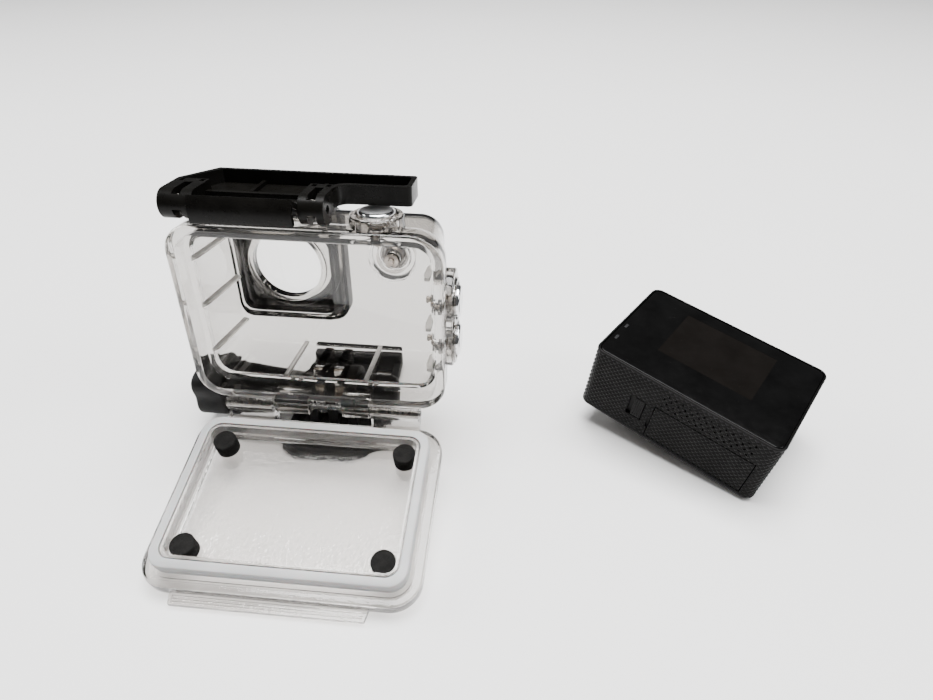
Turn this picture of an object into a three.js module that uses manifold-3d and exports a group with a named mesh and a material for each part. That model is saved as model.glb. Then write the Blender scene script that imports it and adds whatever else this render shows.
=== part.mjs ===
// An action camera beside its open waterproof case, which stands on a quick-release buckle.
// Millimetres, +Z up. The origin is the middle of the buckle's underside.
import * as THREE from "three";
import { RoundedBoxGeometry } from "three/addons/geometries/RoundedBoxGeometry.js";
import { mergeVertices } from "three/addons/utils/BufferGeometryUtils.js";
import Module from "manifold-3d";

const wasm = await Module();
wasm.setup();

const { degToRad } = THREE.MathUtils;

// ---- Driving dimensions ----

const GAP = 0.3; // between pieces that touch
const PIN = { r: 0.85, bore: 1.15 }; // both steel hinge pins
const FINGER = { r: 7.5, thick: 3, pitch: 6.2, y: -2.2, z: 12.5, bore: 2.6 };
const BOLT = { r: 2.2, x0: -42, x1: 18.5 };

// The case: x across, y away from the mouth, z up the mouth.
const CASE = { at: [1, -19, 22.4], tilt: -6.84 };
const RIM = { x: 36.4, z: 52.4, depth: 7.5, corner: 8 };
const RECESS = { x: 33.7, z0: 2.7, z1: 49.7, depth: 5, corner: 5.6 };
const BODY = { x: 33.2, z0: 2.8, z1: 49.6, y1: 27, corner: 6.5, wall: 2.1, mouth: 32.4 };
const SNOUT = { x: -15.9, z: 30.2, half: 17, y1: 31.2, inner: 14.6, front: 29.5, corner: 5 };
const WINDOW = { hole: 10.6, lip: 12.2, r: 14.7, thick: 1.1 };
const BEZEL = { half: 18.2, y0: 29.6, y1: 34.6, wall: 0.9, corner: 5.5, hole: 13 };
const CASE_AXIS = { y: 17.86, z: -7.83 }; // the thumb screw's axis in the case's frame
const DOOR_AXIS = { y: 2.81, z: -3.56, r: 2.6 };
const LATCH_AXIS = { y: 0, z: 58.2 };

// The door: y = 0 is its hinge edge, z = 0 the face that meets the rim.
const DOOR = { at: [1, -19.57, 15.1], tilt: 11.07, x: 36.35, length: 52.5, thick: 4.5, corner: 8 };
const GASKET = { x: 33.2, near: 3.45, far: 49.2, top: 4.7, band: 2.4, corner: 5 };
const DOOR_HINGE = { y: 3.55, z: 2.81 };

// Case buttons: local z points out of the wall, and z = 0 is the wall's outer face.
const BUTTON = { floor: 1.6, bossTop: 5.4, stem: 1, clip: 2.1, travel: 1.5 };

// The camera: x and y across its screen, z = 0 the front face that it lies on.
const CAMERA = { x: 29.6, y: 20.55, z: 24, corner: 3, wall: 1.6 };
const CAMERA_LENS = { x: -14.5, y: 6, r: 11, out: 5.3 };

// ---- Solids ----

/** A closed geometry as a solid, whichever way its faces are wound. */
function solid(geometry) {
  const bare = new THREE.BufferGeometry();
  bare.setAttribute("position", geometry.getAttribute("position"));
  if (geometry.index) bare.setIndex(geometry.index);
  const merged = mergeVertices(bare, 1e-4);
  const faces = [];
  for (let i = 0; i < merged.index.count; i += 3) {
    const [a, b, c] = [0, 1, 2].map((k) => merged.index.getX(i + k));
    if (a !== b && b !== c && c !== a) faces.push([a, b, c]);
  }
  const build = (list) =>
    new wasm.Manifold(
      new wasm.Mesh({
        numProp: 3,
        vertProperties: Float32Array.from(merged.getAttribute("position").array),
        triVerts: Uint32Array.from(list.flat()),
      }),
    );
  const made = build(faces);
  return made.volume() < 0 ? build(faces.map(([a, b, c]) => [a, c, b])) : made;
}

const TO_PLANE = {
  xy: new THREE.Matrix4(),
  xz: new THREE.Matrix4().makeBasis(v3(1, 0, 0), v3(0, 0, 1), v3(0, -1, 0)),
  yz: new THREE.Matrix4().makeBasis(v3(0, 1, 0), v3(0, 0, 1), v3(1, 0, 0)),
};

function v3(x, y, z) {
  return new THREE.Vector3(x, y, z);
}

/** A shape drawn in a plane, from one height to another along that plane's normal axis. */
function extrude(plane, shape, from, to, curveSegments = 4) {
  const depth = to - from;
  const g = new THREE.ExtrudeGeometry(shape, { depth, bevelEnabled: false, curveSegments });
  g.translate(0, 0, plane === "xz" ? -to : from);
  return solid(g.applyMatrix4(TO_PLANE[plane]));
}

function roundedRect(x0, y0, x1, y1, r) {
  const s = new THREE.Shape();
  s.absarc(x1 - r, y0 + r, r, -Math.PI / 2, 0);
  s.absarc(x1 - r, y1 - r, r, 0, Math.PI / 2);
  s.absarc(x0 + r, y1 - r, r, Math.PI / 2, Math.PI);
  s.absarc(x0 + r, y0 + r, r, Math.PI, 1.5 * Math.PI);
  return s;
}

function outline(...points) {
  return new THREE.Shape(points.map(([x, y]) => new THREE.Vector2(x, y)));
}

function disc(x, y, r) {
  return new THREE.Shape().absarc(x, y, r, 0, 2 * Math.PI);
}

function box(x0, x1, y0, y1, z0, z1) {
  const g = new THREE.BoxGeometry(x1 - x0, y1 - y0, z1 - z0);
  return solid(g.translate((x0 + x1) / 2, (y0 + y1) / 2, (z0 + z1) / 2));
}

/** A round rod along X at (y, z). */
function rodX(x0, x1, y, z, r, segments = 8) {
  return extrude("yz", disc(y, z, r), x0, x1, segments);
}

/** A profile of [radius, height] points turned about local Z. */
function turned(profile, sides = 24) {
  const points = profile.map(([r, h]) => new THREE.Vector2(r, h));
  return solid(new THREE.LatheGeometry(points, sides).rotateX(Math.PI / 2));
}

/** The same, turned about X through (y, z). */
function turnedX(profile, y, z, sides = 24) {
  const points = profile.map(([r, h]) => new THREE.Vector2(r, h));
  return solid(new THREE.LatheGeometry(points, sides).rotateZ(-Math.PI / 2).translate(0, y, z));
}

/** A ring about local Z between two radii. */
function ring(inner, outer, z0, z1, sides) {
  return turned([[inner, z0], [outer, z0], [outer, z1], [inner, z1], [inner, z0]], sides);
}

// ---- Materials and scene graph ----

const paint = (color, roughness, metalness = 0, extra = {}) =>
  new THREE.MeshStandardMaterial({ color, roughness, metalness, ...extra });

const MATERIAL = {
  clear: paint(0xd9dcda, 0.08, 0, { transparent: true, opacity: 0.35 }),
  black: paint(0x141414, 0.6),
  gloss: paint(0x0b0b0c, 0.2),
  rubber: paint(0x1a1a1a, 0.8),
  gasket: paint(0xe6e8ea, 0.5),
  steel: paint(0x8d867e, 0.35, 1),
  chrome: paint(0xd8d8d8, 0.15, 1),
  bezel: paint(0x2b2c2e, 0.5),
  board: paint(0x12402a, 0.6),
  label: paint(0x3a3d42, 0.5),
};

function mesh(name, made, material) {
  const { vertProperties, triVerts } = made.getMesh();
  const g = new THREE.BufferGeometry();
  g.setAttribute("position", new THREE.BufferAttribute(vertProperties, 3));
  g.setIndex(new THREE.BufferAttribute(triVerts, 1));
  g.computeVertexNormals();
  const m = new THREE.Mesh(g, material);
  m.name = name;
  return m;
}

function group({ at, tilt = 0 }, ...children) {
  const g = new THREE.Group().add(...children);
  g.position.set(...at);
  g.rotation.x = degToRad(tilt);
  return g;
}

// ---- Base: the quick-release buckle, its nut and the thumb screw ----

const BUCKLE = { x: 15.8, front: -22, back: 26, thick: 4, shoulderY: 10, blockTop: 4.7, barTop: 6.2 };

/** One mount finger round the thumb screw's axis, on a web that stands on the buckle. */
function upFinger(x) {
  const half = FINGER.thick / 2;
  const { r, y, z } = FINGER;
  const web = box(x - half, x + half, y - r, y + r, BUCKLE.thick - 0.1, z);
  return rodX(x - half, x + half, y, z, r, 12).add(web);
}

/** The plate, whose front corners are drawn in by two wide curves. */
function plate(x, z0, z1) {
  const { front, shoulderY } = BUCKLE;
  const s = new THREE.Shape();
  s.moveTo(-x, shoulderY);
  s.lineTo(-x, front + 8);
  s.quadraticCurveTo(-x + 1.5, front + 1.5, -x + 7.5, front);
  s.lineTo(x - 7.5, front);
  s.quadraticCurveTo(x - 1.5, front + 1.5, x, front + 8);
  s.lineTo(x, shoulderY);
  return extrude("xy", s, z0, z1, 6);
}

function buckle() {
  const { x, back, thick, shoulderY, blockTop, barTop } = BUCKLE;
  let made = plate(x, 0, thick / 2).add(plate(x - 1.6, thick / 2 - 0.1, thick));
  const block = roundedRect(-10, FINGER.y - 9.5, 13, FINGER.y + 9.5, 2);
  made = made.add(extrude("xy", block, thick - 0.1, blockTop));
  made = made.add(box(-7, 7, shoulderY - 1, back - 2, 0, thick - 0.8));
  made = made.add(extrude("xy", roundedRect(-x, back - 4.6, x, back, 1.6), 0.4, barTop));
  for (const side of [-1, 1]) {
    const arm = [side * (x - 2.6), side * x].sort((a, b) => a - b);
    made = made.add(box(...arm, shoulderY + 2, back - 3, 0.4, thick - 0.6));
  }
  for (const i of [-1, 0, 1])
    made = made.add(upFinger(i * FINGER.pitch));
  made = made.add(rodX(7.5, 12.8, FINGER.y, FINGER.z, 5.2));
  return made.subtract(rodX(-9, 14, FINGER.y, FINGER.z, FINGER.bore));
}

function mountNut() {
  const outer = [[0, 13.1], [5.2, 13.1], [5.2, 17.6], [4.4, 19.4], [2.6, 20.4], [0, 20.4]];
  const bore = rodX(13, BOLT.x1 + GAP, FINGER.y, FINGER.z, BOLT.r + GAP);
  return turnedX(outer, FINGER.y, FINGER.z).subtract(bore);
}

const KNOB = { x0: -44, x1: -34, r: 9.4, lobes: 5, lobe: 0.9, stemEnd: -8.2 };

function thumbKnob() {
  const points = [];
  const steps = KNOB.lobes * 12;
  for (let i = 0; i < steps; i++) {
    const a = (2 * Math.PI * i) / steps;
    const r = KNOB.r + KNOB.lobe * Math.cos(KNOB.lobes * a);
    points.push([FINGER.y + r * Math.cos(a), FINGER.z + r * Math.sin(a)]);
  }
  const grip = extrude("yz", outline(...points), KNOB.x0, KNOB.x1);
  const stem = turnedX(
    [[0, KNOB.x1 - 1], [6.4, KNOB.x1 - 1], [6, KNOB.x1 + 3], [4.4, KNOB.stemEnd - 2],
      [5.2, KNOB.stemEnd - 1.6], [5.2, KNOB.stemEnd], [0, KNOB.stemEnd]],
    FINGER.y, FINGER.z);
  return grip.add(stem).subtract(rodX(BOLT.x0 - GAP, 0, FINGER.y, FINGER.z, BOLT.r + GAP));
}

const thumbBolt = () => rodX(BOLT.x0, BOLT.x1, FINGER.y, FINGER.z, BOLT.r);

// ---- Case shell and what is fixed to it ----

const across = (half, z0, z1, r, y0, y1, x = 0) =>
  extrude("xz", roundedRect(x - half, z0, x + half, z1, r), y0, y1);

const square = (half, r, y0, y1) =>
  across(half, SNOUT.z - half, SNOUT.z + half, r, y0, y1, SNOUT.x);

const boreY = (r, y0, y1) => extrude("xz", disc(SNOUT.x, SNOUT.z, r), y0, y1, 12);

const EARS = [-28.2, 5.1]; // the middles of the two ears

/** One rounded ear for the latch pin, leaning forward from the rim. */
function ear(x0, x1) {
  const r = 2.2;
  const { y, z } = LATCH_AXIS;
  const s = new THREE.Shape();
  s.moveTo(y + 3, RIM.z - 1.2);
  s.lineTo(y + 7, RIM.z - 1.2);
  s.lineTo(y + r, z);
  s.absarc(y, z, r, 0, degToRad(200));
  s.lineTo(y + 1.6, z - 3);
  s.lineTo(y + 3, RIM.z);
  return extrude("yz", s, x0, x1, 8);
}

/** A hinge knuckle under the rim with the web that carries it. */
function caseKnuckle(x0, x1) {
  const { y, z, r } = DOOR_AXIS;
  return rodX(x0, x1, y, z, r).add(box(x0, x1, y - 2.2, y + r, z, 1));
}

function caseFinger(x) {
  const { y, z } = CASE_AXIS;
  const half = 1.3;
  return rodX(x - half, x + half, y, z, FINGER.r, 12).add(
    box(x - half, x + half, y - 6.7, y + 6.7, z, BODY.z0 + 0.8));
}

/** Low ribs that keep the camera clear of the left wall and the floor. */
function guideRibs() {
  const { x, z0, wall, mouth } = BODY;
  const inner = x - wall;
  const floor = z0 + wall;
  const [near, far] = [5.4, 25.2];
  const rib = outline([0.2 - mouth, near], [1.3 - mouth, near + 0.5], [1.5 - inner, far],
    [-0.3 - inner, far], [-0.3 - mouth, near]);
  const onWall = [12.4, 27, 41].map((z) => extrude("xy", rib, z - 0.7, z + 0.7));
  const onFloor = [-11.7, 12.3].map((at) =>
    box(at - 0.7, at + 0.7, near, far, floor - 0.3, floor + 0.7));
  return [...onWall, ...onFloor];
}

/** Inside the snout, what becomes a low ring round the window's hole. */
const windowLip = () => boreY(WINDOW.lip, SNOUT.front - 1.2, SNOUT.front + 0.2);

/** The cavity's mouth, which narrows towards the back. */
function flaredMouth() {
  const { mouth, x, z0, z1, wall, corner } = BODY;
  const layer = (half, y) => across(half, z0 + wall, z1 - wall, corner - 2, y, y + 0.1);
  return wasm.Manifold.hull([layer(mouth, RECESS.depth - 1), layer(x - wall - 0.05, 22)]);
}

const BUTTONS = {
  shutter: { at: [18.2, 8, BODY.z1], out: "z", capR: 4.8 },
  mode: { at: [17.4, BODY.y1, 34.8], out: "y", capR: 4.4 },
  up: { at: [BODY.x, 12, 29.6], out: "x", capR: 4.6 },
  down: { at: [BODY.x, 12, 17.3], out: "x", capR: 4.6 },
};
const OUTWARD = { x: [0, 90], y: [-90, 0], z: [0, 0] }; // turns local Z to each axis

function buttonMatrix({ at, out }) {
  const [rx, ry] = OUTWARD[out].map(degToRad);
  const turn = new THREE.Quaternion().setFromEuler(new THREE.Euler(rx, ry, 0));
  return new THREE.Matrix4().compose(v3(...at), turn, v3(1, 1, 1));
}

/** The boss that each button adds to the wall, and the hollow that it cuts from it. */
function buttonSeat(button) {
  const place = buttonMatrix(button);
  const pocket = button.capR + 0.6;
  const at = (profile) => {
    const points = profile.map(([r, h]) => new THREE.Vector2(r, h));
    return solid(new THREE.LatheGeometry(points, 16).rotateX(Math.PI / 2).applyMatrix4(place));
  };
  const { floor, bossTop, stem, clip } = BUTTON;
  const boss = at([[0, -0.5], [pocket + 1.9, -0.5], [pocket + 1.6, bossTop], [0, bossTop]]);
  const hollow = at([
    [0, -4], [clip + 0.7, -4], [clip + 0.7, -1], [stem + GAP, -1], [stem + GAP, 0.4], [2.3, 0.4],
    [2.3, floor], [pocket, floor], [pocket, bossTop + 1], [0, bossTop + 1]]);
  return { boss, hollow };
}

function caseShell() {
  const { x, z0, z1, y1, wall, corner } = BODY;
  const seats = Object.values(BUTTONS).map(buttonSeat);
  const side = extrude("yz", roundedRect(4.8, 10, 19.2, 38.6, 6), x - 0.5, x + BUTTON.bossTop - 0.6);
  let made = across(RIM.x, 0, RIM.z, RIM.corner, 0, RIM.depth);
  const added = [
    across(x, z0, z1, corner, RIM.depth - 1, y1),
    square(SNOUT.half, SNOUT.corner, y1 - 1, SNOUT.y1),
    side, ...seats.map((s) => s.boss),
    ...EARS.map((x) => ear(x - 0.8, x + 0.8)),
    caseKnuckle(-14.5, -4.4), caseKnuckle(5.6, 13.6),
    ...[-1, 1].map((side) => caseFinger((side * FINGER.pitch) / 2 - CASE.at[0]))];
  for (const s of added) made = made.add(s);
  const cut = [
    across(RECESS.x, RECESS.z0, RECESS.z1, RECESS.corner, -1, RECESS.depth),
    across(x - wall, z0 + wall, z1 - wall, corner - 2, RECESS.depth - 1, y1 - 2), flaredMouth(),
    square(SNOUT.inner, 3, y1 - 3, SNOUT.front),
    ...seats.map((s) => s.hollow)];
  for (const s of cut) made = made.subtract(s);
  for (const s of [...guideRibs(), windowLip()]) made = made.add(s);
  const bores = [
    boreY(WINDOW.hole, SNOUT.front - 2, SNOUT.y1 + 1),
    rodX(-40, 40, DOOR_AXIS.y, DOOR_AXIS.z, PIN.bore),
    rodX(-40, 40, LATCH_AXIS.y, LATCH_AXIS.z, PIN.bore),
    rodX(-10, 10, CASE_AXIS.y, CASE_AXIS.z, FINGER.bore)];
  for (const s of bores) made = made.subtract(s);
  return made;
}

const BEZEL_SCREW = { spread: 14.6, r: 1.3, head: 0.9 };
const screwSpots = [[-1, -1], [1, -1], [-1, 1], [1, 1]].map(([i, k]) =>
  [SNOUT.x + i * BEZEL_SCREW.spread, SNOUT.z + k * BEZEL_SCREW.spread]);

function lensBezel() {
  const { half, y0, y1, wall, corner, hole } = BEZEL;
  let made = square(half, corner, y0, y1);
  made = made.subtract(square(half - wall, corner - wall, y0 - 1, y1 - 1.7));
  made = made.subtract(boreY(hole, y1 - 3, y1 + 1));
  for (const [x, z] of screwSpots)
    made = made.subtract(extrude("xz", disc(x, z, BEZEL_SCREW.r + GAP), y1 - BEZEL_SCREW.head, y1 + 1));
  return made;
}

const bezelScrew = ([x, z]) =>
  extrude("xz", disc(x, z, BEZEL_SCREW.r), BEZEL.y1 - BEZEL_SCREW.head + GAP, BEZEL.y1 + 0.2);

const windowY = SNOUT.y1 + GAP;
const lensWindow = () => boreY(WINDOW.r, windowY, windowY + WINDOW.thick);
const lensSeal = () =>
  boreY(WINDOW.r + 1.7, windowY, windowY + 1).subtract(boreY(WINDOW.r + GAP, windowY - 1, windowY + 2));

// ---- Case buttons ----

function buttonCap(r) {
  const { floor, bossTop } = BUTTON;
  const low = floor + 2.3;
  const top = bossTop + 1.1;
  const roof = top - 1;
  return turned([
    [1.3, low], [1.8, low], [1.8, roof - 0.4], [r - 0.8, roof - 0.4], [r - 0.8, low], [r, low],
    [r, top - 0.5], [r - 0.5, top], [0, top], [0, roof], [1.3, roof], [1.3, low]], 16);
}

function buttonStem() {
  const { stem, clip, bossTop } = BUTTON;
  const tip = bossTop - 0.3;
  return turned([
    [0, -3.4], [stem, -3.4], [stem, -2], [clip, -2], [clip, -1.4], [stem, -1.4], [stem, tip],
    [0, tip]], 10);
}

const buttonSpring = () => ring(2.1, 2.7, BUTTON.floor + GAP, BUTTON.floor + 1.6, 12);
const buttonSeal = () => ring(1.3, 2, 0.7, 1.4, 12);

function caseButton(name, button) {
  const g = new THREE.Group().add(
    mesh(`${name}_cap`, buttonCap(button.capR), MATERIAL.chrome),
    mesh(`${name}_stem`, buttonStem(), MATERIAL.steel),
    mesh(`${name}_spring`, buttonSpring(), MATERIAL.steel),
    mesh(`${name}_seal`, buttonSeal(), MATERIAL.rubber));
  g.applyMatrix4(buttonMatrix(button));
  return g;
}

// ---- Latch: a hollow lever and a hook on one pin ----

const LEVER = {
  top: 62, under: 57, left: -32.8, wall: 1.3, floor: 1.4, far: 18.8, slot: 1.1, frontLow: 57.6,
};

/** The lever seen from above, drawn in by `inset` where its hollow is cut. */
function leverOutline(inset) {
  const { left } = LEVER;
  const far = LEVER.far - inset;
  const near = 8.5 + inset;
  const end = 27.3 - inset;
  const r = 1.2;
  const s = new THREE.Shape();
  s.moveTo(left + inset, 4.4 + inset);
  s.lineTo(8.2 - inset, 4.4 + inset);
  s.quadraticCurveTo(9 - inset, near, 12, near);
  s.absarc(end - r, near + r, r, -Math.PI / 2, 0);
  s.absarc(end - r, far - r, r, 0, Math.PI / 2);
  s.lineTo(left + 6.4 + inset, far);
  s.lineTo(left + inset, 8.5);
  return s;
}

/** A block that carries the pin at the lever's near edge. */
function leverBlock(x0, x1) {
  const r = LEVER.top - LATCH_AXIS.z;
  return rodX(x0, x1, LATCH_AXIS.y, LATCH_AXIS.z, r).add(box(x0, x1, 0, 8, 55.8, LEVER.top));
}

function latchLever() {
  const { top, under, left, wall, floor, slot, frontLow } = LEVER;
  let made = extrude("xy", leverOutline(0), under, top);
  made = made.subtract(extrude("xy", leverOutline(wall), under + floor, top + 1));
  made = made.subtract(box(-24.2, 1.8, 3, 4.4 + wall + 0.1, top - 2, top + 1));
  made = made.add(leverBlock(left, -24.3)).add(leverBlock(1.9, 8.2));
  for (const x of EARS)
    made = made
      .subtract(box(x - slot, x + slot, -2.7, 5, 50, top + 1))
      .subtract(box(x - slot, x + slot, -5, 5, 50, frontLow));
  return made.subtract(rodX(-40, 10, LATCH_AXIS.y, LATCH_AXIS.z, PIN.bore));
}

const HOOK = { x0: -23.9, x1: 1.5, boss: 2, inner: 5.7, outer: 6.9, from: 145, to: 203 };

function latchHook() {
  const { y, z } = LATCH_AXIS;
  const [from, to] = [HOOK.from, HOOK.to].map(degToRad);
  const s = new THREE.Shape().absarc(y, z, HOOK.outer, from, to);
  s.absarc(y, z, HOOK.inner, to, from, true);
  const shell = extrude("yz", s, HOOK.x0, HOOK.x1, 8);
  const a = degToRad(HOOK.from + 8);
  const [dy, dz] = [Math.cos(a), Math.sin(a)];
  const web = outline(
    [y - 0.7 * dz, z + 0.7 * dy], [y + 6 * dy - 0.7 * dz, z + 6 * dz + 0.7 * dy],
    [y + 6 * dy + 0.7 * dz, z + 6 * dz - 0.7 * dy], [y + 0.7 * dz, z - 0.7 * dy]);
  return rodX(HOOK.x0, HOOK.x1, y, z, HOOK.boss)
    .add(extrude("yz", web, HOOK.x0, HOOK.x1))
    .add(shell)
    .subtract(rodX(-40, 10, y, z, PIN.bore));
}

const hingePin = () => rodX(-30, 29, DOOR_AXIS.y, DOOR_AXIS.z, PIN.r);
const latchPin = () => rodX(-31.4, 7.6, LATCH_AXIS.y, LATCH_AXIS.z, PIN.r);

// ---- Door ----

const doorSlab = (half, near, far, r, z0, z1) =>
  extrude("xy", roundedRect(-half, -far, half, -near, r), z0, z1);

/** A knuckle with the arm that joins it to the door's edge. */
function doorKnuckle(x0, x1) {
  const { y, z } = DOOR_HINGE;
  const arm = outline([-1, -0.4], [-1, -DOOR.thick], [2.6, -DOOR.thick], [y + 2.3, z - 1.2], [y, z],
    [y - 2.3, z - 1.2], [0.8, -0.4]);
  return rodX(x0, x1, y, z, DOOR_AXIS.r).add(extrude("yz", arm, x0, x1));
}

const WELL = { wall: 0.8, floor: -2, rise: 4.6 };

function doorPanel() {
  const { x, length, thick, corner } = DOOR;
  let made = doorSlab(x, 0, length, corner, -thick, 0);
  const { band } = GASKET;
  const wallSlab = (inset, z0, z1) => {
    const d = band + GAP + inset;
    return doorSlab(GASKET.x - d, GASKET.near + d, GASKET.far - d, GASKET.corner - d + 1, z0, z1);
  };
  made = made.add(wallSlab(0, -1, WELL.rise)).subtract(wallSlab(WELL.wall, WELL.floor, WELL.rise + 1));
  made = made.add(extrude("xy", outline([-27.6, -length + 2], [-26.8, -length - 2.8], [23, -length - 2.8],
    [24, -length + 2]), -thick, -3));
  made = made.add(doorKnuckle(-29.5, -15.5)).add(doorKnuckle(14.2, 28.5));
  return made.subtract(rodX(-40, 40, DOOR_HINGE.y, DOOR_HINGE.z, PIN.bore));
}

function doorGasket() {
  const { x, near, far, top, band, corner } = GASKET;
  return doorSlab(x, near, far, corner, GAP, top).subtract(
    doorSlab(x - band, near + band, far - band, corner - band + 1, 0, top + 1));
}

const PADS = [[-26.1, 10.5], [26.1, 10.5], [-26.1, 42.1], [26.1, 42.1]];
const doorPad = ([x, along]) => {
  const low = WELL.floor + GAP;
  return turned([[0, low], [3.2, low], [3.2, 2.4], [2.5, 3], [0, 3]], 16).translate([x, -along, 0]);
};

// ---- Camera ----

const KEY = { side: { x: 29.6, z0: 9, z1: 15 }, travel: 0.8 };
const HATCH = { x0: -6, x1: 25.3, z0: 2.2, z1: 14.7, thick: 1.4 };
const SLIDER = { x0: -12.5, x1: -9.2, z0: 6.8, z1: 14.2, travel: 1.3 };
const REAR = { x: 29, y: 19.9, thick: 1.1 };
const sideKeys = { up_key: [-0.9, 3.7], down_key: [-6.2, -1.6] };

/** A round-cornered box from its six faces. */
function roundedBox(x, y, z0, z1, r) {
  return solid(new RoundedBoxGeometry(2 * x, 2 * y, z1 - z0, 2, r).translate(0, 0, (z0 + z1) / 2));
}

function cameraShell() {
  const { x, y, z, corner, wall } = CAMERA;
  const lens = CAMERA_LENS;
  const aboveTop = box(-x - 1, x + 1, -y - 1, y + 1, z, z + 2 * corner);
  let made = roundedBox(x, y, 0, z + corner, corner).subtract(aboveTop);
  const cut = [
    extrude("xy", roundedRect(-x + wall, -y + wall, x - wall, y - wall, 2), wall, z - REAR.thick - 0.6),
    extrude("xy", roundedRect(-REAR.x, -REAR.y, REAR.x, REAR.y, 2.4), z - REAR.thick - 1, z + 1),
    extrude("xy", disc(lens.x, lens.y, 9), -1, wall + 1, 12),
    box(HATCH.x0 - GAP, HATCH.x1 + GAP, -y - 1, -y + wall + 1, HATCH.z0 - GAP, HATCH.z1 + GAP),
    box(SLIDER.x0 - SLIDER.travel - GAP, SLIDER.x1 + GAP, -y - 1, -y + 1.3,
      SLIDER.z0 - GAP, SLIDER.z1 + GAP),
    extrude("xz", disc(14, 12, 5), y - wall - 1, y + 1, 10),
    extrude("xy", disc(18, -2, 4), -1, wall + 1, 10),
    ...Object.values(sideKeys).map(([y0, y1]) =>
      box(x - wall - 1, x + 1, y0 - GAP, y1 + GAP, KEY.side.z0 - GAP, KEY.side.z1 + GAP))];
  for (const s of cut) made = made.subtract(s);
  return made;
}

function batteryDoor() {
  const { x0, x1, z0, z1, thick } = HATCH;
  const y = -CAMERA.y;
  const r = thick / 2;
  const s = new THREE.Shape();
  s.moveTo(x0, y);
  s.absarc(x1 - r, y + r, r, -Math.PI / 2, Math.PI / 2);
  s.lineTo(x0, y + thick);
  return extrude("xy", s, z0, z1, 8);
}

const batteryLatch = () =>
  box(SLIDER.x0, SLIDER.x1, -CAMERA.y + 0.1, -CAMERA.y + 1.1, SLIDER.z0, SLIDER.z1);

const keyShape = (r, z0, z1) => turned([[0, z0], [r, z0], [r, z1 - 0.4], [r - 0.4, z1], [0, z1]], 24);

/** A round key with a flange inside the wall, facing out along local Z. */
function roundKey(name, r, at, rx) {
  const m = mesh(name, keyShape(r, -1.4, 0.5), MATERIAL.black);
  m.position.set(...at);
  m.rotation.x = degToRad(rx);
  return m;
}

function sideKey(name) {
  const [y0, y1] = sideKeys[name];
  const { x, z0, z1 } = KEY.side;
  return mesh(name, box(x - 1.4, x + 0.2, y0, y1, z0, z1), MATERIAL.black);
}

function screenGlass() {
  const [x, y] = [REAR.x - GAP, REAR.y - GAP];
  const top = CAMERA.z - 0.05;
  return extrude("xy", roundedRect(-x, -y, x, y, 2.2), top - REAR.thick, top);
}

function camera() {
  const lens = CAMERA_LENS;
  const lensRound = (made) => made.translate([lens.x, lens.y, 0]);
  const g = new THREE.Group().add(
    mesh("camera_shell", cameraShell(), MATERIAL.black),
    mesh("screen_glass", screenGlass(), MATERIAL.gloss),
    mesh("lcd_panel", box(-15.5, 16, -8.5, 15.5, 20.6, 22.3), MATERIAL.label),
    mesh("lens_ring", lensRound(ring(8.9, lens.r, -lens.out, -GAP, 24)), MATERIAL.gloss),
    mesh("lens_barrel", lensRound(turned(
      [[0, -3], [6.6, -3], [6.6, -4.9], [8.5, -4.9], [8.5, 13.6], [0, 13.6]], 20)), MATERIAL.black),
    mesh("lens_glass", lensRound(turned([[0, -4.6], [3.4, -4.5], [6.3, -4], [6.3, -3.3], [0, -3.3]], 20)),
      MATERIAL.gloss),
    mesh("image_sensor", box(lens.x - 6, lens.x + 6, lens.y - 5, lens.y + 5, 14, 15.8), MATERIAL.label),
    mesh("main_board", box(-26.5, 26.5, -14, 18, 18, 19.2), MATERIAL.board),
    mesh("battery", box(-5, 24.5, -18, 9, 3, 12.2), MATERIAL.label),
    mesh("memory_card", box(-3, 8, -18, -3, 12.8, 13.8), MATERIAL.black),
    mesh("speaker", box(-6, 24, -18.6, -15.4, 16.2, 21.6), MATERIAL.black),
    mesh("battery_door", batteryDoor(), MATERIAL.black),
    mesh("battery_latch", batteryLatch(), MATERIAL.black),
    roundKey("shutter_key", 4.6, [14, CAMERA.y, 12], -90),
    roundKey("power_key", 3.6, [18, -2, 0], 180),
    sideKey("up_key"), sideKey("down_key"));
  g.position.set(114.11, 7.58, 4.7);
  g.rotation.set(degToRad(2.21), degToRad(7.47), degToRad(-32.82), "ZYX");
  return g;
}

// ---- Assembly ----

const caseGroup = group(CASE,
  mesh("case_shell", caseShell(), MATERIAL.clear),
  mesh("lens_window", lensWindow(), MATERIAL.clear),
  mesh("lens_bezel", lensBezel(), MATERIAL.bezel),
  mesh("lens_seal", lensSeal(), MATERIAL.rubber),
  ...screwSpots.map((spot, i) => mesh(`bezel_screw_${i + 1}`, bezelScrew(spot), MATERIAL.steel)),
  mesh("hinge_pin", hingePin(), MATERIAL.steel),
  mesh("latch_pin", latchPin(), MATERIAL.steel),
  mesh("latch_lever", latchLever(), MATERIAL.gloss),
  mesh("latch_hook", latchHook(), MATERIAL.gloss),
  ...Object.entries(BUTTONS).map(([name, button]) => caseButton(name, button)));

const doorGroup = group(DOOR,
  mesh("door_panel", doorPanel(), MATERIAL.clear),
  mesh("door_gasket", doorGasket(), MATERIAL.gasket),
  ...PADS.map((spot, i) => mesh(`door_pad_${i + 1}`, doorPad(spot), MATERIAL.rubber)));

export default new THREE.Group().add(
  mesh("buckle", buckle(), MATERIAL.black),
  mesh("mount_nut", mountNut(), MATERIAL.black),
  mesh("thumb_knob", thumbKnob(), MATERIAL.black),
  mesh("thumb_bolt", thumbBolt(), MATERIAL.steel),
  caseGroup,
  doorGroup,
  camera());
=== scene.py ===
import math

import bmesh
import bpy
from mathutils import Matrix, Vector


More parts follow.
